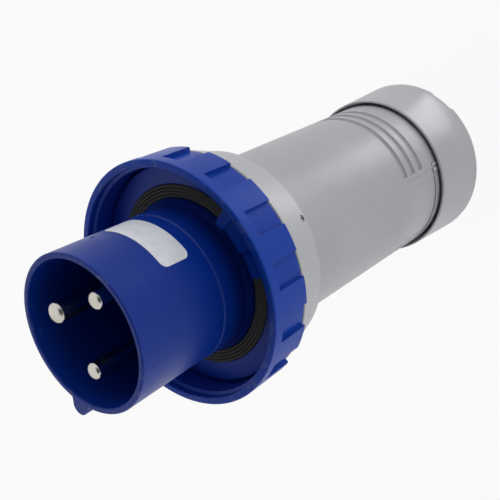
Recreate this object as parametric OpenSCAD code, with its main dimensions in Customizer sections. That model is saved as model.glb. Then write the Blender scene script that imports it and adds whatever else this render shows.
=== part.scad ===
// Industrial pin and sleeve plug, 60/63 A, two poles and earth.
// The plug stands on its gland cap with its pins upwards: +Z runs from the cable entry to the pins,
// and the key of the shroud lies at -Y. The origin is the middle of the gland cap's rear face.
// Depths called "depth" are measured back from the shroud's rim.

/* [Shroud] */
// Outside radius of the shroud at its rim
shroud_r = 35.5; // [30:0.1:42]
// Wall of the shroud
shroud_wall = 2.7; // [2:0.1:3.5]
// Depth from the rim to the front face of the flange
shroud_depth = 66.5; // [60:0.5:80]
// How much the outside narrows from the rim to the step at its root
shroud_taper = 1.3; // [0:0.1:1.6]
// Depth of the step at the shroud's root
root_depth = 48.5; // [44:0.5:52]
// Height of that step
root_step = 0.4; // [0.2:0.1:1]
// Depth of the cavity that the pins stand in
cavity_depth = 52; // [45:0.5:56]
// How much the cavity narrows from the rim to its floor
cavity_taper = 0.8; // [0:0.1:1.2]
// Thickness of the cavity's floor
floor_t = 6; // [5:0.5:8]
// Rounding of the rim's edges
rim_round = 0.7; // [0.3:0.1:1]

/* [Key] */
// Width of the key where it leaves the shroud
key_w = 9.9; // [8:0.1:12]
// Width of the key at its rounded tip
key_tip_w = 8.4; // [6:0.1:9]
// Height of the key above the shroud
key_h = 5.8; // [4:0.1:7]
// Length of the key along the shroud
key_len = 9.5; // [6:0.5:14]
// Length of the key's crest at the rim
key_crest = 1.6; // [1:0.1:3]

/* [Flange and spigot] */
// Outside radius of the flange in front of the locking ring's web
flange_r = 52.2; // [48:0.1:52.6]
// Thickness of the flange
flange_t = 4.5; // [3.5:0.5:6]
// Radius of the hub that the locking ring turns on
hub_r = 44; // [42:0.5:46]
// Outside radius of the spigot that goes into the handle
spigot_r = 38; // [37:0.1:39]
// Length of the spigot behind the hub
spigot_len = 18; // [14:1:22]
// Clearance of the spigot in the handle
spigot_fit = 0.1; // [0.05:0.05:0.2]

/* [Face gasket] */
// Outside radius of the gasket
gasket_r = 42.8; // [40:0.1:43]
// Inside radius of the gasket
gasket_bore_r = 36.6; // [36.2:0.1:38]
// Depth of the gasket's groove in the flange
gasket_groove = 2; // [1:0.1:2.5]
// How far the gasket stands proud of the flange
gasket_proud = 0.7; // [0.3:0.1:1.5]
// Number of sealing ridges
ridge_count = 4; // [2:1:6]
// Height of a ridge
ridge_h = 0.5; // [0.2:0.1:0.6]
// Side clearance of the gasket in its groove
gasket_fit = 0.15; // [0.1:0.05:0.3]

/* [Locking ring] */
// Outside radius at the front edge
ring_r = 57.8; // [56:0.1:62]
// Outside radius at the rear edge
ring_rear_r = 57.1; // [55.5:0.1:61]
// How far the ring's front edge stands ahead of the flange
ring_reach = 13.3; // [11:0.1:16]
// Radius of the mouth
mouth_r = 54.3; // [53.5:0.1:55]
// Length of the mouth before the bore steps in
mouth_len = 3.2; // [2:0.1:5]
// Radius of the bore behind the mouth
ring_bore_r = 53; // [52.5:0.1:53.8]
// Thickness of the web behind the flange
web_t = 4.6; // [3.5:0.1:6]
// Axial play of the web on each side
ring_play = 0.3; // [0.2:0.05:0.5]
// Radial running clearance of the web on the hub
ring_fit = 0.06; // [0.02:0.01:0.1]
// Number of grip pads round the ring
pad_count = 15; // [12:1:18]
// Angle that one pocket between two pads takes up
pocket_angle = 11.6; // [8:0.1:14]
// Depth of a pocket
pocket_cut = 2.3; // [1:0.1:2.5]
// Length of the plain band in front of the pockets
band_len = 5.3; // [4:0.1:8]
// Angle of the middle of the first pad
pad_phase = 87.7; // [0:0.1:360]

/* [Bayonet ramps] */
// Number of ramps in the ring
ramp_count = 2; // [2:1:3]
// Inside radius of a ramp
ramp_r = 44.2; // [43.5:0.1:46]
// Angle at which the first ramp begins
ramp_start = 64; // [0:1:360]
// Angle of the lead-in step
lead_angle = 5.4; // [4:0.1:8]
// Angle of each full step
step_angle = 15.3; // [12:0.1:18]
// How much deeper each step lies than the one before
step_drop = 1.3; // [0.8:0.1:1.8]
// Thickness of a ramp
ramp_t = 3.6; // [3:0.1:4.5]
// Depth of the lead-in step below the ring's front edge
ramp_sink = 1.9; // [1:0.1:3]

/* [Contacts] */
// Radius of the circle that the pins stand on
pitch_r = 18.2; // [16:0.1:20]
// Angle between the earth pin and each line pin
pin_spread = 105; // [100:1:120]
// Radius of a line pin
line_r = 4; // [3.5:0.1:4.5]
// Radius of the earth pin
earth_r = 5; // [4.5:0.1:5.5]
// Depth of the line pins' tips below the rim
line_tip_depth = 1.6; // [0.5:0.1:6]
// Depth of the earth pin's tip below the rim
earth_tip_depth = 0.8; // [0.5:0.1:5]
// Rise of a pin's domed tip as a share of the pin's radius
tip_rise = 0.56; // [0.3:0.02:0.9]
// How far a pin's collar stands out beyond its shank
collar_step = 2.6; // [2:0.1:3]
// How far a pin's seat in the floor stands out beyond its shank
pin_seat = 0.6; // [0.3:0.1:1]
// Thickness of a pin's collar
pin_collar_t = 4; // [3:0.5:5]
// Length of a pin's terminal barrel behind its collar
barrel_len = 29; // [24:1:34]
// Wall between a barrel and its wire bore
barrel_wall = 2.3; // [2:0.1:3]
// Depth of the wire bore
wire_depth = 18; // [14:1:22]
// Radius of a terminal clamp screw
clamp_r = 2.5; // [2:0.1:3]
// Clearance of a pin in the floor and the carrier
pin_fit = 0.1; // [0.05:0.05:0.3]

/* [Contact carrier] */
// Thickness of the carrier
carrier_t = 14; // [12:1:16]
// Clearance of the carrier in the shroud
carrier_fit = 0.2; // [0.1:0.05:0.4]
// Radius of the circle that its screws stand on
carrier_screw_ring = 23.5; // [22:0.5:25]
// Shank radius of a carrier screw
carrier_screw_r = 1.75; // [1.5:0.05:2]
// Bite of a carrier screw into the floor
carrier_screw_bite = 4; // [3:0.5:4.5]

/* [Handle] */
// Length of the handle from its thread to its collar's front face
handle_len = 161.8; // [140:0.1:190]
// Radius of the collar at its front edge
collar_r = 55; // [54:0.1:56]
// Radius of the collar at its rear edge
collar_rear_r = 49; // [46:0.1:50]
// Length of the collar
collar_len = 20.5; // [16:0.1:26]
// Radius of the tube behind the collar
tube_r = 41.5; // [41:0.1:43]
// Radius of the tube where it enters the gland cap
tube_rear_r = 40.3; // [40:0.1:40.6]
// Radius of the handle's bore
handle_bore_r = 37; // [36:0.1:37.4]
// Wall of the hollow collar
collar_wall = 3; // [2.5:0.1:4]

/* [Grip grooves] */
// Number of grip grooves
groove_count = 3; // [2:1:5]
// Spacing of the grooves
groove_pitch = 7.3; // [6:0.1:9]
// Depth of a groove
groove_cut = 1.2; // [0.4:0.1:1.5]
// Radius of a groove's round section
groove_round = 2.2; // [2:0.1:4]
// Distance of the rearmost groove from the gland cap
groove_back = 14.4; // [10:0.1:20]
// Angle that each group of grooves takes up
groove_angle = 112; // [80:1:130]
// Depth of a plain side panel
panel_cut = 0.35; // [0.2:0.05:0.5]
// Length of a plain side panel
panel_len = 24; // [18:1:30]
// Margin of the deeper field inside a side panel
panel_margin = 5; // [3:0.5:7]

/* [Gland] */
// Length of the gland cap
cap_len = 36; // [30:0.5:44]
// Radius of the cap at its front edge
cap_r = 42.8; // [42.5:0.1:44]
// Radius of the cap at its rear edge
cap_rear_r = 44; // [43:0.1:46]
// Radius of the cap's mouth round the handle
cap_mouth_r = 41.5; // [41:0.1:41.8]
// Length of the cap's mouth
cap_mouth_len = 6; // [4:0.5:8]
// Thickness of the cap's end wall
cap_end_t = 6; // [4:0.5:8]
// Radius of the cable hole in the cap
cap_hole_r = 20; // [16:0.5:24]
// Outside radius of the handle's thread
thread_r = 38.9; // [38:0.1:39.5]
// Depth of the thread's root
thread_depth = 0.9; // [0.5:0.1:1.2]
// Length of the plain land at the thread's end
thread_land = 2.2; // [1.5:0.1:3]
// Clearance of the cap on the thread
thread_fit = 0.08; // [0.02:0.01:0.1]
// Width of a spanner notch in the cap's rear edge
notch_w = 14; // [10:1:18]
// Depth of a spanner notch
notch_cut = 2.6; // [1.5:0.1:4]
// Angle of the first spanner notch
notch_phase = 71.4; // [0:0.1:360]
// Thickness of the slip washer
washer_t = 2; // [1:0.5:3]
// Outside radius of the cable grommet
grommet_r = 33.2; // [31:0.1:33.6]
// Radius of the grommet's cable hole
cable_r = 13.5; // [10:0.5:16]
// Length of the grommet inside the handle
grommet_len = 22; // [18:1:26]
// How far the grommet stands out of the handle
grommet_proud = 5; // [3:0.5:7]

/* [Cord clamp] */
// Length of the clamp along the cord
clamp_len = 12; // [10:1:16]
// Radius of the clamp's round cheeks
clamp_cheek_r = 22; // [19:0.5:24]
// Half the width across the clamp's ears
clamp_ear = 29; // [27:0.5:31]
// Thickness of an ear
clamp_ear_t = 6; // [5:0.5:8]
// Half the gap between the clamp's two halves
clamp_gap = 1.5; // [1:0.5:3]
// Distance of a clamp screw from the cord's middle
clamp_screw_x = 24.8; // [24:0.1:26]
// Shank radius of a clamp screw
clamp_screw_r = 2; // [1.5:0.1:2.5]

/* [Label] */
// Angle that the label takes up round the shroud
label_angle = 60; // [40:1:70]
// Angle of the label's middle
label_phase = 88; // [0:1:360]
// Depth of the label's front edge
label_depth = 26.5; // [15:0.5:30]
// Width of the label along the shroud
label_w = 15.5; // [10:0.5:18]
// Thickness of the label
label_t = 0.2; // [0.15:0.05:0.3]
// Corner radius of the label
label_corner = 3; // [1:0.5:4]

/* [Locks] */
// Radius of the screw that locks the handle on its spigot
lock_r = 1.6; // [1.2:0.1:2]
// Angle of the lock screw
lock_phase = 44; // [0:1:360]
// Angle of the catch in front of the gland cap
catch_phase = 31; // [0:1:360]
// Width of the catch
catch_w = 4.6; // [4:0.1:8]

/* [Hidden] */
$fn = 96;
cut = 1;            // how far a cutter runs past the face that it opens
touch = 0.02;       // gap between glued or seated round faces

// Heights, from the cap's rear face upwards
thread_z = cap_end_t + washer_t + grommet_proud;
collar_z = thread_z + handle_len;
hub_len = web_t + 2 * ring_play;
flange_back_z = collar_z + hub_len;
flange_z = flange_back_z + flange_t;
rim_z = flange_z + shroud_depth;
floor_z = rim_z - cavity_depth;
floor_back_z = floor_z - floor_t;
spigot_z = collar_z - spigot_len;
ring_z = flange_z + ring_reach;
ring_back_z = collar_z + ring_play;
grommet_top_z = thread_z + grommet_len;
clamp_z = grommet_top_z + 16;

// Radii that follow from the sizes above
cavity_r = shroud_r - shroud_wall;
root_r = shroud_r - shroud_taper;
bell_r = cavity_r + 0.2;                    // bore behind the floor
bayonet_wall_r = ring_bore_r + cut;
socket_r = spigot_r + spigot_fit;           // handle's bore for the spigot
seal_r = 1.15;                              // section of the body seal
seal_groove = 2 * seal_r - 0.05;
seal_z = collar_z - 6;

function arc(r, z, round, from, to, steps = 4) =
    [for (i = [0:steps]) let (a = from + (to - from) * i / steps) [r + round * cos(a), z + round * sin(a)]];
// Radius of the tapered shroud at a height
function shroud_r_at(z) = root_r + shroud_taper * (z - (rim_z - root_depth)) / root_depth;
// Radius of the tapered handle tube at a height
function tube_r_at(z) = tube_rear_r + (tube_r - tube_rear_r) * (z - cap_len) / (collar_z - collar_len - cap_len);

// A solid of revolution from a profile of [radius, height] points
module turned(profile) {
    rotate_extrude() polygon(profile);
}

// A part-turn of a profile, centred on an angle
module turned_sector(profile, middle, angle) {
    rotate([0, 0, middle - angle / 2]) rotate_extrude(angle = angle) polygon(profile);
}

// Pin 0 is the earth pin, 1 and 2 are the line pins
function pin_r(i) = i == 0 ? earth_r : line_r;
function pin_angle(i) = i == 0 ? 180 : i == 1 ? 180 - pin_spread : 180 + pin_spread;
module at_pin(i) {
    rotate([0, 0, pin_angle(i)]) translate([pitch_r, 0, 0]) children();
}

// A drill along the radius at a height and angle
module radial_drill(z, angle, r, from, to) {
    rotate([0, 0, angle]) translate([from, 0, z]) rotate([0, 90, 0]) cylinder(r = r, h = to - from);
}

// ---------------------------------------------------------------- shroud

module shroud_profile() {
    groove_half = seal_r + 0.15;
    polygon(concat(
        [[0, floor_back_z], [bell_r, floor_back_z], [bell_r, spigot_z],
         [spigot_r - 0.8, spigot_z], [spigot_r, spigot_z + 0.8],
         [spigot_r, seal_z - groove_half], [spigot_r - seal_groove, seal_z - groove_half],
         [spigot_r - seal_groove, seal_z + groove_half], [spigot_r, seal_z + groove_half],
         [spigot_r, collar_z], [hub_r, collar_z], [hub_r, flange_back_z]],
        arc(flange_r - 0.6, flange_back_z + 0.6, 0.6, -90, 0, 3),
        arc(flange_r - 0.8, flange_z - 0.8, 0.8, 0, 90, 3),
        [[gasket_r + gasket_fit, flange_z], [gasket_r + gasket_fit, flange_z - gasket_groove],
         [gasket_bore_r - gasket_fit, flange_z - gasket_groove],
         [gasket_bore_r - gasket_fit, flange_z + 1],
         [root_r + root_step, flange_z + 4],
         [root_r + root_step, rim_z - root_depth - 0.8], [root_r, rim_z - root_depth]],
        arc(shroud_r - rim_round, rim_z - rim_round, rim_round, 0, 90),
        arc(cavity_r + rim_round, rim_z - rim_round, rim_round, 90, 180),
        arc(cavity_r - cavity_taper - 1.5, floor_z + 1.5, 1.5, 0, -90),
        [[0, floor_z]]));
}

// Front view of the key: straight flanks that run into a round tip
module key_outline() {
    tip_r = key_tip_w / 2;
    translate([0, -(shroud_r + key_h - tip_r)]) circle(r = tip_r);
    polygon([[-key_w / 2, -shroud_r + 1.2], [key_w / 2, -shroud_r + 1.2],
             [tip_r, -(shroud_r + key_h - tip_r)], [-tip_r, -(shroud_r + key_h - tip_r)]]);
}

// Side view of the key: a crest at the rim and a slope down to the shroud
module key_side() {
    polygon([[-shroud_r + 1.2, rim_z], [-(shroud_r + key_h), rim_z], [-(shroud_r + key_h), rim_z - key_crest],
             [-shroud_r, rim_z - key_len], [-shroud_r + 1.2, rim_z - key_len]]);
}

module key() {
    intersection() {
        translate([0, 0, rim_z - key_len]) linear_extrude(key_len) key_outline();
        rotate([0, 0, 90]) rotate([90, 0, 0]) translate([0, 0, -key_w]) linear_extrude(2 * key_w) key_side();
    }
}

module shroud() {
    mark_z = rim_z - 19.1;      // a small sunk mark ahead of the label
    color("royalblue") difference() {
        union() {
            rotate_extrude() shroud_profile();
            key();
        }
        for (i = [0:2]) at_pin(i) translate([0, 0, floor_back_z - cut])
            cylinder(r = pin_r(i) + pin_seat + pin_fit, h = floor_t + 2 * cut);
        for (i = [0:2]) at_carrier_screw(i) translate([0, 0, floor_back_z - cut])
            cylinder(r = carrier_screw_r, h = carrier_screw_bite + cut + 0.3);
        radial_drill(mark_z, label_phase + 26.5, 0.9, shroud_r_at(mark_z) - 0.6, shroud_r + cut);
    }
}

// Black rubber ring with concentric ridges, laid in the flange's groove
module face_gasket() {
    pitch = (gasket_r - gasket_bore_r) / ridge_count;
    top = flange_z + gasket_proud;
    color("black") turned(concat(
        [[gasket_r, flange_z - gasket_groove], [gasket_r, top - ridge_h]],
        [for (i = [0:ridge_count - 1]) each [
            [gasket_r - pitch * (i + 0.35), top], [gasket_r - pitch * (i + 0.65), top],
            [gasket_r - pitch * (i + 1), top - ridge_h]]],
        [[gasket_bore_r, flange_z - gasket_groove]]));
}

// ---------------------------------------------------------------- locking ring

module ring_profile() {
    polygon(concat(
        [[hub_r + ring_fit, ring_back_z], [ring_rear_r - 0.5, ring_back_z], [ring_rear_r, ring_back_z + 0.5]],
        arc(ring_r - 0.8, ring_z - 0.8, 0.8, 0, 90),
        arc(mouth_r + 0.6, ring_z - 0.6, 0.6, 90, 180, 3),
        [[mouth_r, ring_z - mouth_len], [ring_bore_r, ring_z - mouth_len - 0.8],
         [ring_bore_r, ring_back_z + web_t], [hub_r + ring_fit, ring_back_z + web_t]]));
}

// One pocket between two grip pads, open to the rear
module pocket(middle) {
    floor_r = ring_r - pocket_cut;
    front_z = ring_z - band_len;
    turned_sector([[floor_r - 0.4, ring_back_z - cut], [ring_r + cut, ring_back_z - cut],
                   [ring_r + cut, front_z + 0.5], [floor_r, front_z - 0.6]], middle, pocket_angle);
}

// Stair-stepped bayonet ramp: each step lies deeper than the one before it
module bayonet_ramp(start) {
    for (i = [0:2]) {
        angle = i == 0 ? lead_angle : step_angle;
        begin = start - (i == 0 ? 0 : lead_angle + step_angle * (i - 1));
        top = ring_z - ramp_sink - step_drop * i;
        overlap = i == 0 ? 0 : 0.5;
        turned_sector([[ramp_r, top - ramp_t], [bayonet_wall_r, top - ramp_t - 1], [bayonet_wall_r, top],
                       [ramp_r + 0.5, top], [ramp_r, top - 0.5]],
                      begin - (angle - overlap) / 2, angle + overlap);
    }
}

module locking_ring() {
    color("royalblue") difference() {
        union() {
            rotate_extrude() ring_profile();
            for (i = [0:ramp_count - 1]) bayonet_ramp(ramp_start + 360 / ramp_count * i);
        }
        for (i = [0:pad_count - 1]) pocket(pad_phase + 360 / pad_count * (i + 0.5));
    }
}

// ---------------------------------------------------------------- contacts

// Turned pin with a collar and a terminal barrel, on its own axis
module contact_pin(r, tip_depth) {
    tip_z = rim_z - tip_depth;
    shoulder_z = floor_back_z;
    barrel_z = shoulder_z - pin_collar_t - barrel_len;
    barrel_r = barrel_r(r);
    color("silver") difference() {
        turned(concat(
            [[0, barrel_z], [barrel_r - 0.5, barrel_z], [barrel_r, barrel_z + 0.5],
             [barrel_r, shoulder_z - pin_collar_t], [r + collar_step, shoulder_z - pin_collar_t],
             [r + collar_step, shoulder_z], [r + pin_seat, shoulder_z], [r + pin_seat, floor_z - pin_seat],
             [r, floor_z]],
            [for (a = [0:10:90]) [r * cos(a), tip_z + r * tip_rise * (sin(a) - 1)]]));
        translate([0, 0, barrel_z - cut]) cylinder(r = wire_r(r), h = wire_depth + cut);
        for (z = clamp_screw_heights()) radial_drill(z, 0, clamp_r, 0, barrel_r + cut);
    }
}

function barrel_r(r) = r + 2.2;
function wire_r(r) = barrel_r(r) - barrel_wall;
function clamp_screw_heights() =
    let (end = floor_back_z - pin_collar_t - barrel_len) [end + 4.5, end + 12.5];

module earth_pin() { at_pin(0) contact_pin(earth_r, earth_tip_depth); }
module line_pin_a() { at_pin(1) contact_pin(line_r, line_tip_depth); }
module line_pin_b() { at_pin(2) contact_pin(line_r, line_tip_depth); }

// Two slotted screws in a pin's terminal barrel
module clamp_screws(r) {
    stem_r = clamp_r - pin_fit / 2;
    head_x = barrel_r(r) + 2.4;
    color("gray") for (z = clamp_screw_heights()) difference() {
        radial_drill(z, 0, stem_r, 0.8, head_x);
        translate([head_x - 1, -0.4, z - clamp_r - cut]) cube([2, 0.8, 2 * (clamp_r + cut)]);
    }
}

module earth_clamp_screws() { at_pin(0) clamp_screws(earth_r); }
module line_clamp_screws_a() { at_pin(1) clamp_screws(line_r); }
module line_clamp_screws_b() { at_pin(2) clamp_screws(line_r); }

// The carrier's screws stand midway between the pins
function carrier_screw_angle(i) = [0, 180 - pin_spread / 2, 180 + pin_spread / 2][i];
module at_carrier_screw(i) {
    rotate([0, 0, carrier_screw_angle(i)]) translate([carrier_screw_ring, 0, 0]) children();
}

module contact_carrier() {
    back_z = floor_back_z - carrier_t;
    outer_r = bell_r - carrier_fit;
    color("darkslategray") difference() {
        turned([[0, back_z], [outer_r - 1, back_z], [outer_r, back_z + 1], [outer_r, floor_back_z],
                [0, floor_back_z]]);
        for (i = [0:2]) {
            r = pin_r(i);
            at_pin(i) translate([0, 0, back_z - cut]) {
                cylinder(r = barrel_r(r) + pin_fit, h = carrier_t + 2 * cut);
                translate([0, 0, carrier_t + cut - pin_collar_t])
                    cylinder(r = r + collar_step + pin_fit, h = pin_collar_t + cut);
            }
            at_carrier_screw(i) translate([0, 0, back_z - cut]) {
                cylinder(r = carrier_screw_r + pin_fit, h = carrier_t + 2 * cut);
                cylinder(r = 2 * carrier_screw_r + 0.2, h = 3.2 + cut);
            }
        }
    }
}

// Pan-head screws that hold the carrier against the floor
module carrier_screws() {
    head_z = floor_back_z - carrier_t + 3.2;
    color("silver") for (i = [0:2]) at_carrier_screw(i) difference() {
        union() {
            translate([0, 0, head_z]) cylinder(r = carrier_screw_r, h = carrier_t - 3.2 + carrier_screw_bite);
            translate([0, 0, head_z - 2.4]) cylinder(r = 2 * carrier_screw_r, h = 2.4);
        }
        for (turn = [0, 90]) rotate([0, 0, turn])
            translate([-0.4, -carrier_screw_r * 1.2, head_z - 2.4 - cut])
                cube([0.8, carrier_screw_r * 2.4, 1.3 + cut]);
    }
}

// ---------------------------------------------------------------- handle

module handle_profile() {
    collar_back_z = collar_z - collar_len;
    thread_len = cap_len - cap_mouth_len - thread_z;
    shoulder_z = thread_z + thread_len;
    root_r = thread_r - thread_depth;
    polygon(concat(
        [[grommet_r + 0.1, thread_z], [thread_r - 0.8, thread_z], [thread_r, thread_z + 0.8],
         [thread_r, thread_z + thread_land], [root_r, thread_z + thread_land + thread_depth],
         [root_r, shoulder_z], [tube_r_at(shoulder_z + 1.6), shoulder_z + 1.6],
         [tube_r_at(collar_back_z - 6), collar_back_z - 6]],
        arc(tube_r + 3, collar_back_z - 5.4, 3, 180, 120, 3),
        arc(collar_rear_r - 0.8, collar_back_z + 0.2, 0.8, -60, 12, 4),
        arc(collar_r - 0.8, collar_z - 1.2, 0.8, 15, 90, 3),
        [[collar_r - collar_wall - 0.8, collar_z],
         [collar_rear_r - collar_wall, collar_back_z + 4], [hub_r + 0.6, collar_back_z + 4],
         [hub_r, collar_z], [socket_r, collar_z], [socket_r, spigot_z - 0.3],
         [handle_bore_r, spigot_z - 0.3], [handle_bore_r, grommet_top_z + 15],
         [grommet_r - 6, grommet_top_z + 6], [grommet_r - 6, grommet_top_z], [grommet_r + 0.1, grommet_top_z]]));
}

// Shallow round grooves above and below, with a plain panel on each side
module grip_cuts() {
    for (side = [0, 180]) {
        for (i = [0:groove_count - 1]) {
            z = cap_len + groove_back + groove_pitch * i;
            rotate([0, 0, 90 + side - groove_angle / 2]) rotate_extrude(angle = groove_angle)
                translate([tube_r_at(z) + groove_round - groove_cut, z]) circle(r = groove_round, $fn = 48);
        }
        side_panel(side, panel_cut, 0);
        side_panel(side, 1.6 * panel_cut, panel_margin);
    }
}

// Shallow panel in the tube's side, drawn in by a margin on its front and flanks
module side_panel(side, deep, margin) {
    low_z = cap_len + 3;
    top_z = low_z + panel_len - margin;
    margin_angle = margin / tube_rear_r * 180 / PI;
    turned_sector([[tube_r_at(low_z) - deep, low_z], [tube_r + cut, low_z], [tube_r + cut, top_z],
                   [tube_r_at(top_z) - deep, top_z]],
                  side, 180 - groove_angle - 6 - 2 * margin_angle);
}

module handle_body() {
    color("darkgray") difference() {
        rotate_extrude() handle_profile();
        grip_cuts();
        radial_drill(lock_z(), lock_phase, lock_r, socket_r - cut, collar_r);
        catch_slot(0);
    }
}

// O-ring between the spigot and the handle
module body_seal() {
    color("black") rotate_extrude() translate([spigot_r - seal_groove + seal_r, seal_z]) circle(r = seal_r, $fn = 32);
}

function lock_z() = collar_z - collar_len + 2.4;

// Slotted screw that keeps the handle from turning on its spigot
module body_lock_screw() {
    outer = collar_rear_r - 0.4;
    color("silver") difference() {
        radial_drill(lock_z(), lock_phase, lock_r - touch, socket_r, outer);
        rotate([0, 0, lock_phase]) translate([outer - 0.8, -0.3, lock_z() - lock_r - cut])
            cube([2, 0.6, 2 * (lock_r + cut)]);
    }
}

// Space of the catch in the handle's wall, with a side clearance
module catch_slot(shrink) {
    base_r = tube_r_at(cap_len) - 1.6 + shrink;
    rotate([0, 0, catch_phase]) translate([base_r, -catch_w / 2 + shrink, cap_len - 1.5 + shrink])
        cube([4, catch_w - 2 * shrink, 5 - 2 * shrink]);
}

// Two-toothed catch that bears on the gland cap's edge
module cap_catch() {
    top_r = tube_r_at(cap_len) + 0.4;
    color("gainsboro") difference() {
        intersection() {
            catch_slot(0.1);
            cylinder(r = top_r, h = rim_z);
        }
        rotate([0, 0, catch_phase]) translate([tube_r_at(cap_len) - 0.3, -0.7, cap_len - 2])
            cube([3, 1.4, 8]);
    }
}

// ---------------------------------------------------------------- cord clamp

module clamp_half(side) {
    translate([0, 0, clamp_z]) intersection() {
        linear_extrude(clamp_len) difference() {
            union() {
                circle(r = clamp_cheek_r);
                translate([-clamp_ear, -clamp_gap - clamp_ear_t]) square([2 * clamp_ear, 2 * (clamp_gap + clamp_ear_t)]);
            }
            circle(r = cable_r);
        }
        translate([-clamp_ear - cut, side > 0 ? clamp_gap : -clamp_cheek_r - clamp_gap - cut, -cut])
            cube([2 * (clamp_ear + cut), clamp_cheek_r + cut, clamp_len + 2 * cut]);
    }
}

module at_clamp_screw(x) {
    translate([x, 0, clamp_z + clamp_len / 2]) rotate([-90, 0, 0]) children();
}

// Lower half, on two feet that stand on the handle's bore
module cord_clamp_base() {
    foot = [8, handle_bore_r, clamp_len];
    color("dimgray") difference() {
        union() {
            clamp_half(-1);
            intersection() {
                translate([0, 0, clamp_z]) cylinder(r = handle_bore_r - 0.1, h = clamp_len);
                for (x = [-clamp_ear, clamp_ear - foot.x])
                    translate([x, -foot.y - clamp_gap - clamp_ear_t + 1, clamp_z]) cube(foot);
            }
        }
        for (x = [-clamp_screw_x, clamp_screw_x]) at_clamp_screw(x)
            translate([0, 0, -20]) cylinder(r = clamp_screw_r, h = 20);
    }
}

module cord_clamp_jaw() {
    color("dimgray") difference() {
        clamp_half(1);
        for (x = [-clamp_screw_x, clamp_screw_x]) at_clamp_screw(x)
            cylinder(r = clamp_screw_r + 0.2, h = clamp_cheek_r);
    }
}

module cord_clamp_screws() {
    head = clamp_gap + clamp_ear_t;
    color("silver") for (x = [-clamp_screw_x, clamp_screw_x]) at_clamp_screw(x) difference() {
        union() {
            translate([0, 0, -18]) cylinder(r = clamp_screw_r - touch, h = 18 + head);
            translate([0, 0, head]) cylinder(r = 2 * clamp_screw_r - 0.6, h = 2.6);
        }
        translate([-0.5, -6, head + 1.5]) cube([1, 12, 3]);
    }
}

// ---------------------------------------------------------------- gland

// Rubber bush whose rear face has rings that peel off for thicker cables
module cable_grommet() {
    back_z = thread_z - grommet_proud;
    color("black") difference() {
        turned([[cable_r, back_z + 1], [cable_r + 1, back_z], [grommet_r - 1.6, back_z],
                [grommet_r, thread_z], [grommet_r, grommet_top_z], [cable_r + 4, grommet_top_z],
                [cable_r, grommet_top_z - 4]]);
        for (r = [cable_r + 2.4, cable_r + 4.8, cable_r + 7.2])
            turned([[r, back_z - cut], [r + 0.7, back_z - cut], [r + 0.5, back_z + 3], [r + 0.2, back_z + 3]]);
    }
}

module slip_washer() {
    color("silver") turned([[cap_hole_r + 1.5, cap_end_t], [thread_r - 2, cap_end_t],
                            [thread_r - 2, cap_end_t + washer_t], [cap_hole_r + 1.5, cap_end_t + washer_t]]);
}

module gland_cap() {
    color("darkgray") difference() {
        turned(concat(
            arc(cap_hole_r + 1.5, 1.5, 1.5, 180, 270),
            [[cap_hole_r + 4, 0], [cap_hole_r + 5, 1], [cap_rear_r - 6.5, 1], [cap_rear_r - 5.5, 0]],
            arc(cap_rear_r - 1.8, 1.8, 1.8, -90, 0, 5),
            [[cap_r, cap_len - 0.9], [cap_r - 0.9, cap_len], [cap_mouth_r + 0.9, cap_len],
             [cap_mouth_r, cap_len - 1.6], [cap_mouth_r, cap_len - cap_mouth_len + 1.2],
             [thread_r + thread_fit, cap_len - cap_mouth_len - 1],
             [thread_r + thread_fit, cap_end_t], [cap_hole_r, cap_end_t]]));
        for (side = [0, 180]) rotate([0, 0, notch_phase + side])
            translate([cap_rear_r - 6, -notch_w / 2, -cut]) cube([12, notch_w, notch_cut + cut]);
    }
}

// ---------------------------------------------------------------- label

// Sticker bent round the tapered shroud, with rounded corners
module rating_label() {
    top_z = rim_z - label_depth;
    low_z = top_z - label_w;
    half_w = shroud_r * sin(label_angle / 2);
    color("white") intersection() {
        turned([[shroud_r_at(low_z) + touch, low_z], [shroud_r_at(low_z) + touch + label_t, low_z],
                [shroud_r_at(top_z) + touch + label_t, top_z], [shroud_r_at(top_z) + touch, top_z]]);
        rotate([0, 0, label_phase - 90]) rotate([-90, 0, 0]) linear_extrude(2 * shroud_r) union() {
            for (x = [-1, 1], z = [low_z + label_corner, top_z - label_corner])
                translate([x * (half_w - label_corner), -z]) circle(r = label_corner, $fn = 48);
            translate([-half_w, -top_z + label_corner]) square([2 * half_w, label_w - 2 * label_corner]);
            translate([-half_w + label_corner, -top_z]) square([2 * (half_w - label_corner), label_w]);
        }
    }
}

shroud();
face_gasket();
locking_ring();
earth_pin();
line_pin_a();
line_pin_b();
contact_carrier();
carrier_screws();
earth_clamp_screws();
line_clamp_screws_a();
line_clamp_screws_b();
rating_label();
handle_body();
body_seal();
body_lock_screw();
cord_clamp_base();
cord_clamp_jaw();
cord_clamp_screws();
cable_grommet();
slip_washer();
gland_cap();
cap_catch();
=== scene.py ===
"""Looks of an industrial pin and sleeve plug: its finishes, the gland thread and a plain studio."""
import math

import bpy
import numpy as np
from bpy.props import FloatProperty, IntProperty, PointerProperty, StringProperty
from bpy.types import Operator, Panel, PropertyGroup
from mathutils import Matrix, Vector


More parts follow.
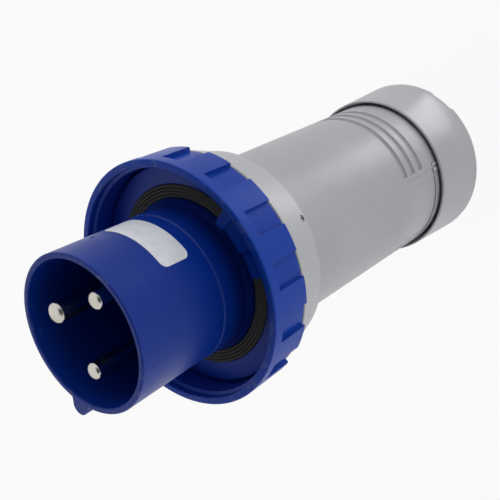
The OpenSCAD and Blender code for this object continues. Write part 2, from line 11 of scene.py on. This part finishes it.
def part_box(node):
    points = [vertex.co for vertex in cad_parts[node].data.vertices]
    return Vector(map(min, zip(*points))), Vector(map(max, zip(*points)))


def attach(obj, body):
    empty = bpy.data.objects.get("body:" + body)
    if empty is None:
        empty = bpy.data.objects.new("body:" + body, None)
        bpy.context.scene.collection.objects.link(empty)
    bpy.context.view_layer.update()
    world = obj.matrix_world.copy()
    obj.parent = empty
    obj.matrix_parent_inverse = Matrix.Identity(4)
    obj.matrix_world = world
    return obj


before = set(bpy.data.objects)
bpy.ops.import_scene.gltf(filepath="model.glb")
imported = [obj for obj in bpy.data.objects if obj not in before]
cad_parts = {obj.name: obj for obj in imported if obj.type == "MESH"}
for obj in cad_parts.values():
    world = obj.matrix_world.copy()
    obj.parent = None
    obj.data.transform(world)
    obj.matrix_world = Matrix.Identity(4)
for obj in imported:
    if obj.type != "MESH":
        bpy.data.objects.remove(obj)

bl_info = {
    "name": "Pin and sleeve plug",
    "version": (1, 0, 0),
    "blender": (4, 5, 0),
    "location": "View3D > Sidebar > Plug",
    "description": "Finishes, gland thread and studio of an industrial pin and sleeve plug",
    "category": "Object",
}

MM = 0.001
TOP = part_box("shroud")[1].z          # the rim of the shroud
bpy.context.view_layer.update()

# Where the camera stands, in metres, and which way its back and its right side point.
CAMERA_PLACE = Vector((0.2388, 0.2380, 0.4659))
CAMERA_BACK = Vector((0.5101, 0.5158, 0.6884))
CAMERA_RIGHT = Vector((0.7648, 0.0942, -0.6373))

# Where the lamps stand, in metres, which way the strip runs, and the side on which the studio is open.
KEY_PLACE = Vector((-0.35, 0.85, 0.12))
TOP_PLACE = Vector((-0.75, -0.6, 1.1))
STRIP_PLACE = Vector((0.032, 0.158, 0.002))
STRIP_ALONG = Vector((0.092, 0.996, 0))
OPEN_SIDE = (0.62, 0.36, 0.7)


# ---------------------------------------------------------------- settings

class PlugFinishes(PropertyGroup):
    """Colours and surface values that a user would change."""

    shell_blue: StringProperty(name="Shell blue", description="Pigment of the shroud", default="#002C8A")
    ring_blue: StringProperty(name="Ring blue", description="Pigment of the locking ring",
                              default="#04389C")
    handle_grey: StringProperty(name="Handle grey", description="Pigment of the handle", default="#A7A8AC")
    cap_grey: StringProperty(name="Cap grey", description="Pigment of the gland cap", default="#ABABB1")
    label_white: StringProperty(name="Label", description="Face of the bare label", default="#DFE2E9")
    rubber_black: StringProperty(name="Rubber", description="Gasket and grommet", default="#11120F")
    nickel: StringProperty(name="Nickel", description="Plating of the pins", default="#C6C3BB")
    wear: FloatProperty(name="Wear", description="Strength of scuffs and scratches", default=0.35,
                        min=0.0, max=1.0, subtype="FACTOR")
    edge: FloatProperty(name="Edge radius", description="Radius that the mould leaves on sharp edges",
                        default=0.3 * MM, min=0.0, max=2 * MM, unit="LENGTH", precision=5)


class PlugThread(PropertyGroup):
    """Sizes of the thread that carries the gland cap."""

    pitch: FloatProperty(name="Pitch", description="Travel of the cap in one turn", default=3 * MM,
                         min=1 * MM, max=5 * MM, unit="LENGTH", precision=4)
    root: FloatProperty(name="Root radius", description="Radius at the bottom of the thread",
                        default=38 * MM,
                        min=30 * MM, max=45 * MM, unit="LENGTH", precision=4)
    height: FloatProperty(name="Height", description="Height of the ridge above the root",
                          default=0.85 * MM,
                          min=0.2 * MM, max=1.5 * MM, unit="LENGTH", precision=5)
    start: FloatProperty(name="Start", description="Plain land between the handle's end and the ridge",
                         default=3.2 * MM, min=0.0, unit="LENGTH", precision=4)
    length: FloatProperty(name="Length", description="Length of the ridge along the axis",
                          default=13.6 * MM, min=3 * MM, unit="LENGTH", precision=4)
    steps: IntProperty(name="Steps", description="Sections in one turn", default=120, min=24, max=240)


class PlugStage(PropertyGroup):
    """Camera, lights and floor."""

    lens: FloatProperty(name="Lens", description="Focal length in millimetres", default=70.34, min=20,
                        max=200)
    floor_size: FloatProperty(name="Floor", description="Width of the floor", default=8.0, min=1.0,
                              unit="LENGTH")
    table: FloatProperty(name="Light table", description="Share of the floor's white that glows by itself",
                         default=0.92, min=0.0, max=1.0, subtype="FACTOR")
    key_power: FloatProperty(name="Key light", description="Power of the key light", default=1.0, min=0.0)
    top_power: FloatProperty(name="Top light", description="Power of the lamp above the pins", default=3.6,
                             min=0.0)
    strip_power: FloatProperty(name="Strip light", description="Power of the strip that draws a gloss streak",
                               default=0.1, min=0.0)
    horizon: FloatProperty(name="Horizon", description="Light from all round, low down", default=1.25,
                           min=0.0)
    zenith: FloatProperty(name="Zenith", description="Light from overhead", default=0.14, min=0.0)


# ---------------------------------------------------------------- nodes and materials

def linear(colour):
    """Turn an sRGB hex colour into the linear RGBA that shaders use."""
    channels = [int(colour[i:i + 2], 16) / 255 for i in (1, 3, 5)]
    return [c / 12.92 if c <= 0.04045 else ((c + 0.055) / 1.055) ** 2.4 for c in channels] + [1.0]


def tone(colour, factor):
    """Scale a linear colour's brightness."""
    return [min(1.0, c * factor) for c in colour[:3]] + [1.0]


def add(tree, kind, inputs=None, out=None, **settings):
    """Add a node with its settings, fill its inputs with values or other nodes' outputs, and return the
    output of the given name, or the first one in use."""
    node = tree.nodes.new(kind)
    for name, value in settings.items():
        setattr(node, name, value)
    for key, value in (inputs or {}).items():
        if isinstance(value, bpy.types.NodeSocket):
            tree.links.new(value, node.inputs[key])
        else:
            node.inputs[key].default_value = value
    return node.outputs[out] if out else next((socket for socket in node.outputs if socket.enabled), None)


def blank_material(name):
    """Make an empty node material and return it with its tree."""
    material = bpy.data.materials.new(name)
    material.use_nodes = True
    material.node_tree.nodes.clear()
    return material, material.node_tree


def moulded_nylon(name, colour, wear, edge, gloss=0.40, ior=1.42, worn_heights=(), grain=0.5):
    """Injection-moulded polyamide 6.

    The spark-eroded tool gives it a fine even grain, slightly polished where hands touch it; the
    pigment flows a little unevenly, edges are softly rounded, and scuffs along worn edges (heights in
    metres) show lighter.
    """
    material, tree = blank_material(name)
    coords = add(tree, "ShaderNodeTexCoord", out="Object")
    base = linear(colour)

    # Pigment drifts over a few centimetres, and fine specks come from the filler.
    flow = add(tree, "ShaderNodeTexNoise", {"Vector": coords, "Scale": 1 / (46 * MM), "Detail": 3.0})
    drift = add(tree, "ShaderNodeMapRange", {"Value": flow, "From Min": 0.3, "From Max": 0.7})
    pigment = add(tree, "ShaderNodeMix", {"Factor": drift, "A": tone(base, 0.94), "B": tone(base, 1.06)},
                  data_type="RGBA")
    filler = add(tree, "ShaderNodeTexNoise", {"Vector": coords, "Scale": 1 / (1.4 * MM), "Detail": 1.0})
    speck = add(tree, "ShaderNodeMapRange", {"Value": filler, "From Min": 0.62, "From Max": 0.8,
                                             "To Max": 0.16})
    pigment = add(tree, "ShaderNodeMix", {"Factor": speck, "A": pigment, "B": tone(base, 1.35)},
                  data_type="RGBA")

    # Handling scratches run mostly round the part; they are a few tenths of a millimetre wide.
    drawn = add(tree, "ShaderNodeMapping", {"Vector": coords, "Scale": (1 / 9, 1 / 9, 1 / 0.45)})
    hair = add(tree, "ShaderNodeTexNoise", {"Vector": drawn, "Scale": 1 / (0.9 * MM), "Detail": 3.0})
    line = add(tree, "ShaderNodeMapRange", {"Value": hair, "From Min": 0.66, "From Max": 0.74})
    touch = add(tree, "ShaderNodeTexNoise", {"Vector": coords, "Scale": 1 / (21 * MM), "Detail": 2.0})
    patch = add(tree, "ShaderNodeMapRange", {"Value": touch, "From Min": 0.5, "From Max": 0.68,
                                             "To Max": wear})
    scratched = add(tree, "ShaderNodeMath", {0: line, 1: patch}, operation="MULTIPLY")

    # Edges that knock against things are rubbed paler in short stretches.
    height = add(tree, "ShaderNodeSeparateXYZ", {"Vector": coords}, out="Z")
    chips = add(tree, "ShaderNodeTexNoise", {"Vector": coords, "Scale": 1 / (5 * MM), "Detail": 4.0,
                                             "Roughness": 0.7})
    broken = add(tree, "ShaderNodeMapRange", {"Value": chips, "From Min": 0.52, "From Max": 0.68,
                                              "To Max": wear})
    for worn in worn_heights:
        rise = add(tree, "ShaderNodeMath", {0: height, 1: worn}, operation="SUBTRACT")
        away = add(tree, "ShaderNodeMath", {0: rise}, operation="ABSOLUTE")
        near = add(tree, "ShaderNodeMapRange", {"Value": away, "From Min": 0.9 * MM, "From Max": 0.1 * MM})
        rubbed = add(tree, "ShaderNodeMath", {0: near, 1: broken}, operation="MULTIPLY")
        scratched = add(tree, "ShaderNodeMath", {0: scratched, 1: rubbed}, operation="MAXIMUM")
    pale = [0.6 * c + 0.4 * 0.42 for c in base[:3]] + [1.0]
    pigment = add(tree, "ShaderNodeMix", {"Factor": scratched, "A": pigment, "B": pale}, data_type="RGBA")

    # The grain is 0.35 mm on the tool; it is drawn at 0.7 mm so that it still shows.
    rounded = add(tree, "ShaderNodeBevel", {"Radius": edge}, samples=6)
    pits = add(tree, "ShaderNodeTexNoise", {"Vector": coords, "Scale": 1 / (0.7 * MM), "Detail": 2.0})
    relief = add(tree, "ShaderNodeBump", {"Height": pits, "Strength": grain, "Distance": 0.03 * MM,
                                          "Normal": rounded})
    hands = add(tree, "ShaderNodeTexNoise", {"Vector": coords, "Scale": 1 / (30 * MM), "Detail": 2.0})
    polish = add(tree, "ShaderNodeMapRange", {"Value": hands, "From Min": 0.35, "From Max": 0.65,
                                              "To Min": gloss - 0.05, "To Max": gloss + 0.06})
    rough = add(tree, "ShaderNodeMath", {0: scratched, 1: 0.25, 2: polish}, operation="MULTIPLY_ADD")
    shader = add(tree, "ShaderNodeBsdfPrincipled", {"Base Color": pigment, "Roughness": rough, "IOR": ior,
                                                    "Normal": relief})
    add(tree, "ShaderNodeOutputMaterial", {"Surface": shader})
    return material


def rubber(name, colour, ridge_mm=0.0):
    """Peroxide-cured EPDM rubber: matte, faintly dusty, with the tool's turned rings where asked."""
    material, tree = blank_material(name)
    coords = add(tree, "ShaderNodeTexCoord", out="Object")
    bloom = add(tree, "ShaderNodeTexNoise", {"Vector": coords, "Scale": 1 / (9 * MM), "Detail": 5.0,
                                             "Roughness": 0.65})
    dust = add(tree, "ShaderNodeMapRange", {"Value": bloom, "From Min": 0.48, "From Max": 0.8,
                                            "To Max": 0.3})
    skin = add(tree, "ShaderNodeMix", {"Factor": dust, "A": linear(colour), "B": linear("#4A4740")},
               data_type="RGBA")
    pores = add(tree, "ShaderNodeTexNoise", {"Vector": coords, "Scale": 1 / (0.6 * MM), "Detail": 2.0})
    relief = add(tree, "ShaderNodeBump", {"Height": pores, "Strength": 0.5, "Distance": 0.04 * MM})
    if ridge_mm:
        # Concentric lips: a sine of the distance from the axis.
        flat = add(tree, "ShaderNodeVectorMath", {0: coords, 1: (1, 1, 0)}, operation="MULTIPLY")
        radius = add(tree, "ShaderNodeVectorMath", {0: flat}, out="Value", operation="LENGTH")
        turns = add(tree, "ShaderNodeMath", {0: radius, 1: 2 * math.pi / (ridge_mm * MM)},
                    operation="MULTIPLY")
        wave = add(tree, "ShaderNodeMath", {0: turns}, operation="SINE")
        relief = add(tree, "ShaderNodeBump", {"Height": wave, "Strength": 0.25, "Distance": 0.05 * MM,
                                              "Normal": relief})
    rough = add(tree, "ShaderNodeMapRange", {"Value": dust, "From Max": 0.3, "To Min": 0.6, "To Max": 0.8})
    shader = add(tree, "ShaderNodeBsdfPrincipled", {"Base Color": skin, "Roughness": rough,
                                                    "Normal": relief})
    add(tree, "ShaderNodeOutputMaterial", {"Surface": shader})
    return material


def plated_metal(name, colour, roughness, ring_mm=0.35):
    """Nickel or zinc over turned brass or steel: lathe rings under the plating, slightly tarnished."""
    material, tree = blank_material(name)
    coords = add(tree, "ShaderNodeTexCoord", out="Object")
    stain = add(tree, "ShaderNodeTexNoise", {"Vector": coords, "Scale": 1 / (6 * MM), "Detail": 4.0,
                                             "Roughness": 0.6})
    tarnish = add(tree, "ShaderNodeMapRange", {"Value": stain, "From Min": 0.5, "From Max": 0.75,
                                               "To Max": 0.4})
    plating = add(tree, "ShaderNodeMix", {"Factor": tarnish, "A": linear(colour), "B": linear("#9C917C")},
                  data_type="RGBA")
    turned = add(tree, "ShaderNodeMapping", {"Vector": coords, "Scale": (1 / 400, 1 / 400, 1)})
    rings = add(tree, "ShaderNodeTexNoise", {"Vector": turned, "Scale": 1 / (ring_mm * MM), "Detail": 1.0})
    relief = add(tree, "ShaderNodeBump", {"Height": rings, "Strength": 0.35, "Distance": 0.02 * MM})
    rough = add(tree, "ShaderNodeMapRange", {"Value": stain, "From Min": 0.35, "From Max": 0.75,
                                             "To Min": roughness - 0.05, "To Max": roughness + 0.1})
    shader = add(tree, "ShaderNodeBsdfPrincipled", {"Base Color": plating, "Metallic": 1.0,
                                                    "Roughness": rough,
                                                    "Normal": relief})
    add(tree, "ShaderNodeOutputMaterial", {"Surface": shader})
    return material


def label_film(name, colour):
    """White polyester film under a clear laminate: smooth, faintly greyed where it was rubbed."""
    material, tree = blank_material(name)
    coords = add(tree, "ShaderNodeTexCoord", out="Object")
    base = linear(colour)
    smudge = add(tree, "ShaderNodeTexNoise", {"Vector": coords, "Scale": 1 / (8 * MM), "Detail": 3.0})
    rubbed = add(tree, "ShaderNodeMapRange", {"Value": smudge, "From Min": 0.4, "From Max": 0.75})
    film = add(tree, "ShaderNodeMix", {"Factor": rubbed, "A": base, "B": tone(base, 0.86)},
               data_type="RGBA")
    wave = add(tree, "ShaderNodeTexNoise", {"Vector": coords, "Scale": 1 / (7 * MM), "Detail": 1.0})
    relief = add(tree, "ShaderNodeBump", {"Height": wave, "Strength": 0.3, "Distance": 0.08 * MM})
    rough = add(tree, "ShaderNodeMapRange", {"Value": rubbed, "To Min": 0.28, "To Max": 0.45})
    shader = add(tree, "ShaderNodeBsdfPrincipled", {"Base Color": film, "Roughness": rough,
                                                    "Normal": relief})
    add(tree, "ShaderNodeOutputMaterial", {"Surface": shader})
    return material


def filled_plastic(name, colour, roughness):
    """Glass-filled polyamide or acetal of the inner parts: dull, with short pale fibres near the skin."""
    material, tree = blank_material(name)
    coords = add(tree, "ShaderNodeTexCoord", out="Object")
    base = linear(colour)
    drawn = add(tree, "ShaderNodeMapping", {"Vector": coords, "Scale": (1, 1 / 4, 1)})
    glass = add(tree, "ShaderNodeTexNoise", {"Vector": drawn, "Scale": 1 / (0.8 * MM), "Detail": 2.0})
    fibres = add(tree, "ShaderNodeMapRange", {"Value": glass, "From Min": 0.6, "From Max": 0.8,
                                              "To Max": 0.4})
    skin = add(tree, "ShaderNodeMix", {"Factor": fibres, "A": base, "B": tone(base, 1.6)}, data_type="RGBA")
    relief = add(tree, "ShaderNodeBump", {"Height": glass, "Strength": 0.4, "Distance": 0.03 * MM})
    shader = add(tree, "ShaderNodeBsdfPrincipled", {"Base Color": skin, "Roughness": roughness,
                                                    "Normal": relief})
    add(tree, "ShaderNodeOutputMaterial", {"Surface": shader})
    return material


def paint(material, *nodes):
    """Give CAD nodes a material."""
    for name in nodes:
        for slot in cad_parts[name].material_slots:
            slot.material = material


# ---------------------------------------------------------------- surfaces

def ridge_faces(rows, columns):
    """Quads of a grid of points, and one face over its first row and one over its last."""
    i, j = np.meshgrid(np.arange(rows - 1), np.arange(columns - 1), indexing="ij")
    corner = i * columns + j
    quads = np.stack([corner, corner + 1, corner + columns + 1, corner + columns], axis=-1)
    first, last = range(columns), range((rows - 1) * columns, rows * columns)
    return quads.reshape(-1, 4).tolist() + [list(first)[::-1], list(last)]


def ridge_piece(name, points, material, body):
    """Make a mesh object from a rows by columns grid of points and let it ride on a body."""
    mesh = bpy.data.meshes.new(name)
    mesh.from_pydata(points.reshape(-1, 3).tolist(), [], ridge_faces(*points.shape[:2]))
    mesh.materials.append(material)
    mesh.update()
    piece = bpy.data.objects.new(name, mesh)
    bpy.context.collection.objects.link(piece)
    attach(piece, body)
    return piece


def helical_ridge(root_r, height, low, high, pitch, steps):
    """Trapezoid ridge on a helix.

    The section's four corners lie at shares 0, 0.28, 0.62 and 0.9 of the pitch, at the root, the crest,
    the crest and the root, which is sunk into the body below and open on its underside. Its centre climbs
    by one pitch a turn, and the crest sinks to the root over the first and last third of a turn.
    """
    sunk, lead = 0.2 * MM, 3
    turns = (high - low - 0.9 * pitch) / pitch
    turn = np.linspace(0, turns, int(turns * steps))[:, None]
    rise = np.clip(np.minimum(turn, turns - turn) * lead, 0, 1)
    share = np.array([0.0, 0.28, 0.62, 0.9])[None, :]
    up = np.array([0.0, 1.0, 1.0, 0.0])[None, :]
    radius = root_r - sunk + (height + sunk) * up * rise
    angle = 2 * math.pi * turn + 0 * share
    z = low + pitch * (turn + share)
    return np.stack([radius * np.cos(angle), radius * np.sin(angle), z], axis=-1)


def aimed(place, back, across):
    """Matrix of a lamp or camera: its back points along back, and its right side as near across as it can."""
    back = back.normalized()
    up = back.cross(across).normalized()
    turn = Matrix((up.cross(back), up, back)).transposed().to_4x4()
    return Matrix.Translation(place) @ turn


# ---------------------------------------------------------------- operators

class PLUG_OT_shell(Operator):
    """Blue nylon of the shroud and the locking ring"""

    bl_idname = "plug.shell"
    bl_label = "Shell and locking ring"

    def execute(self, context):
        look = context.scene.plug_finishes
        paint(moulded_nylon("Moulded polyamide, shell blue", look.shell_blue, look.wear, look.edge,
                            ior=1.29, worn_heights=[TOP]), "shroud")
        ring_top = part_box("locking_ring")[1].z
        paint(moulded_nylon("Moulded polyamide, ring blue", look.ring_blue, look.wear, look.edge,
                            gloss=0.36,
                            ior=1.26, worn_heights=[ring_top]), "locking_ring")
        return {"FINISHED"}


class PLUG_OT_handle(Operator):
    """Grey nylon of the handle, the gland cap and the catch"""

    bl_idname = "plug.handle"
    bl_label = "Handle and gland cap"

    def execute(self, context):
        look = context.scene.plug_finishes
        body = moulded_nylon("Moulded polyamide, handle grey", look.handle_grey, look.wear, look.edge,
                             gloss=0.44,
                             grain=0.7)
        paint(body, "handle_body")
        self.thread(context.scene.plug_thread, body)
        paint(moulded_nylon("Moulded polyamide, cap grey", look.cap_grey, look.wear, look.edge, gloss=0.4,
                            worn_heights=[0.0], grain=0.6), "gland_cap")
        paint(moulded_nylon("Moulded polyamide, catch", "#B9B9BB", look.wear, look.edge, gloss=0.3),
              "cap_catch")
        return {"FINISHED"}


    def thread(self, sizes, material):
        """Ridge of the gland thread, which shows when the cap is screwed back."""
        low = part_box("handle_body")[0].z + sizes.start
        points = helical_ridge(sizes.root, sizes.height, low, low + sizes.length, sizes.pitch, sizes.steps)
        ridge_piece("gland_thread", points, material, "plug")


class PLUG_OT_rubber(Operator):
    """Face gasket, body seal and cable grommet"""

    bl_idname = "plug.rubber"
    bl_label = "Rubber parts"

    def execute(self, context):
        look = context.scene.plug_finishes
        paint(rubber("EPDM rubber, ridged", look.rubber_black, ridge_mm=0.78), "face_gasket")
        paint(rubber("EPDM rubber", look.rubber_black), "cable_grommet", "body_seal")
        return {"FINISHED"}


class PLUG_OT_contacts(Operator):
    """Pins, terminal screws and the other screws"""

    bl_idname = "plug.contacts"
    bl_label = "Pins and screws"

    def execute(self, context):
        look = context.scene.plug_finishes
        paint(plated_metal("Nickel-plated turned brass", look.nickel, 0.2), "earth_pin", "line_pin_a",
              "line_pin_b")
        paint(plated_metal("Zinc-plated steel", "#B9BAB6", 0.34), "earth_clamp_screws",
              "line_clamp_screws_a",
              "line_clamp_screws_b", "carrier_screws", "cord_clamp_screws", "body_lock_screw")
        return {"FINISHED"}


class PLUG_OT_label(Operator):
    """Bare label on the shroud"""

    bl_idname = "plug.label"
    bl_label = "Label"

    def execute(self, context):
        paint(label_film("Polyester label film", context.scene.plug_finishes.label_white), "rating_label")
        return {"FINISHED"}


class PLUG_OT_inner_parts(Operator):
    """Contact carrier, cord clamp and slip washer"""

    bl_idname = "plug.inner_parts"
    bl_label = "Inner parts"

    def execute(self, context):
        paint(filled_plastic("Glass-filled polyamide, anthracite", "#33363A", 0.55), "contact_carrier")
        paint(filled_plastic("Glass-filled polyamide, grey", "#5D6063", 0.5), "cord_clamp_base",
              "cord_clamp_jaw")
        paint(filled_plastic("Acetal", "#D8D8D2", 0.35), "slip_washer")
        return {"FINISHED"}


class PLUG_OT_stage(Operator):
    """Floor, soft lights and camera"""

    bl_idname = "plug.stage"
    bl_label = "Stage"

    def execute(self, context):
        scene = context.scene
        stage = scene.plug_stage
        scene.view_settings.view_transform = "Standard"
        self.floor(stage)
        self.world(scene, stage)
        middle = Vector((0, 0, 0.4 * TOP))
        self.light("Key", KEY_PLACE, middle, (0.9, 0.22), stage.key_power)
        top = self.light("Top", TOP_PLACE, middle, (0.5, 0.5), stage.top_power)
        top.visible_glossy = False
        gloss = self.light("Strip", STRIP_PLACE, STRIP_PLACE + Vector((0, 0, 1)), (0.228, 0.036),
                           stage.strip_power, across=STRIP_ALONG)
        gloss.visible_diffuse = False
        self.camera(scene, stage)
        return {"FINISHED"}

    def floor(self, stage):
        """White paper on a light table, which keeps the plug's soft shadow."""
        half = stage.floor_size / 2
        mesh = bpy.data.meshes.new("floor")
        corners = [(-half, -half, 0), (half, -half, 0), (half, half, 0), (-half, half, 0)]
        mesh.from_pydata(corners, [], [(0, 1, 2, 3)])
        material, tree = blank_material("Pale paper")
        paper = add(tree, "ShaderNodeBsdfDiffuse", {"Color": (0.9, 0.9, 0.9, 1)})
        glow = add(tree, "ShaderNodeEmission", {"Color": (1, 1, 1, 1), "Strength": 1.0})
        mixed = add(tree, "ShaderNodeMixShader", {0: stage.table, 1: paper, 2: glow})
        add(tree, "ShaderNodeOutputMaterial", {"Surface": mixed})
        mesh.materials.append(material)
        floor = bpy.data.objects.new("floor", mesh)
        bpy.context.collection.objects.link(floor)

    def world(self, scene, stage):
        """Soft light that is bright low down all round and dim overhead; views and reflections see white
        card there, with a dark gap on the side that the studio is open to."""
        scene.world = bpy.data.worlds.new("Studio")
        scene.world.use_nodes = True
        tree = scene.world.node_tree
        tree.nodes.clear()
        way = add(tree, "ShaderNodeTexCoord", out="Generated")
        up = add(tree, "ShaderNodeSeparateXYZ", {"Vector": way}, out="Z")
        soft = add(tree, "ShaderNodeMapRange", {"Value": up, "From Min": 0.08, "From Max": 0.6,
                                                "To Min": stage.horizon, "To Max": stage.zenith},
                   interpolation_type="SMOOTHSTEP")
        facing = add(tree, "ShaderNodeVectorMath", {0: way, 1: OPEN_SIDE}, out="Value",
                     operation="DOT_PRODUCT")
        card = add(tree, "ShaderNodeMapRange", {"Value": facing, "From Min": 0.74, "From Max": 0.93,
                                                "To Min": 1.0, "To Max": 0.02})
        seen = tree.nodes.new("ShaderNodeLightPath").outputs
        mirrored = add(tree, "ShaderNodeMath", {0: seen["Is Glossy Ray"], 1: seen["Is Transmission Ray"]},
                       operation="MAXIMUM")
        direct = add(tree, "ShaderNodeMath", {0: seen["Is Camera Ray"], 1: mirrored}, operation="MAXIMUM")
        strength = add(tree, "ShaderNodeMix", {"Factor": direct, "A": soft, "B": card})
        light = add(tree, "ShaderNodeBackground", {"Color": (1, 1, 1, 1), "Strength": strength})
        add(tree, "ShaderNodeOutputWorld", {"Surface": light})

    def light(self, name, place, target, size, power, across=Vector((0.7, -0.7, 0))):
        """A soft lamp, size across and up, that looks at the target with its width along across."""
        lamp = bpy.data.lights.new(name, "AREA")
        lamp.shape = "RECTANGLE"
        lamp.size, lamp.size_y = size
        lamp.energy = power
        holder = bpy.data.objects.new(name, lamp)
        holder.matrix_world = aimed(place, place - target, across)
        holder.visible_camera = False
        bpy.context.collection.objects.link(holder)
        return holder

    def camera(self, scene, stage):
        """Camera above the pins, level with the key's side, turned until the plug points down to the left."""
        camera = bpy.data.cameras.new("Camera")
        camera.lens = stage.lens
        camera.clip_start = 0.01
        holder = bpy.data.objects.new("Camera", camera)
        holder.matrix_world = aimed(CAMERA_PLACE, CAMERA_BACK, CAMERA_RIGHT)
        bpy.context.collection.objects.link(holder)
        scene.camera = holder


class PLUG_PT_panel(Panel):
    """Settings and steps of the plug"""

    bl_label = "Pin and sleeve plug"
    bl_idname = "PLUG_PT_panel"
    bl_space_type = "VIEW_3D"
    bl_region_type = "UI"
    bl_category = "Plug"

    def draw(self, context):
        scene = context.scene
        for group in (scene.plug_finishes, scene.plug_stage):
            for name in group.bl_rna.properties.keys():
                if name not in ("rna_type", "name"):
                    self.layout.prop(group, name)
        for step in STEPS:
            self.layout.operator(step.bl_idname)


STEPS = (PLUG_OT_shell, PLUG_OT_handle, PLUG_OT_rubber, PLUG_OT_contacts, PLUG_OT_label,
         PLUG_OT_inner_parts,
         PLUG_OT_stage)
CLASSES = (PlugFinishes, PlugThread, PlugStage) + STEPS + (PLUG_PT_panel,)


def register():
    for item in CLASSES:
        bpy.utils.register_class(item)
    bpy.types.Scene.plug_finishes = PointerProperty(type=PlugFinishes)
    bpy.types.Scene.plug_thread = PointerProperty(type=PlugThread)
    bpy.types.Scene.plug_stage = PointerProperty(type=PlugStage)


def unregister():
    del bpy.types.Scene.plug_stage
    del bpy.types.Scene.plug_thread
    del bpy.types.Scene.plug_finishes
    for item in reversed(CLASSES):
        bpy.utils.unregister_class(item)


def main():
    register()
    for step in STEPS:
        group, name = step.bl_idname.split(".")
        getattr(getattr(bpy.ops, group), name)()


if __name__ == "__main__":
    main()
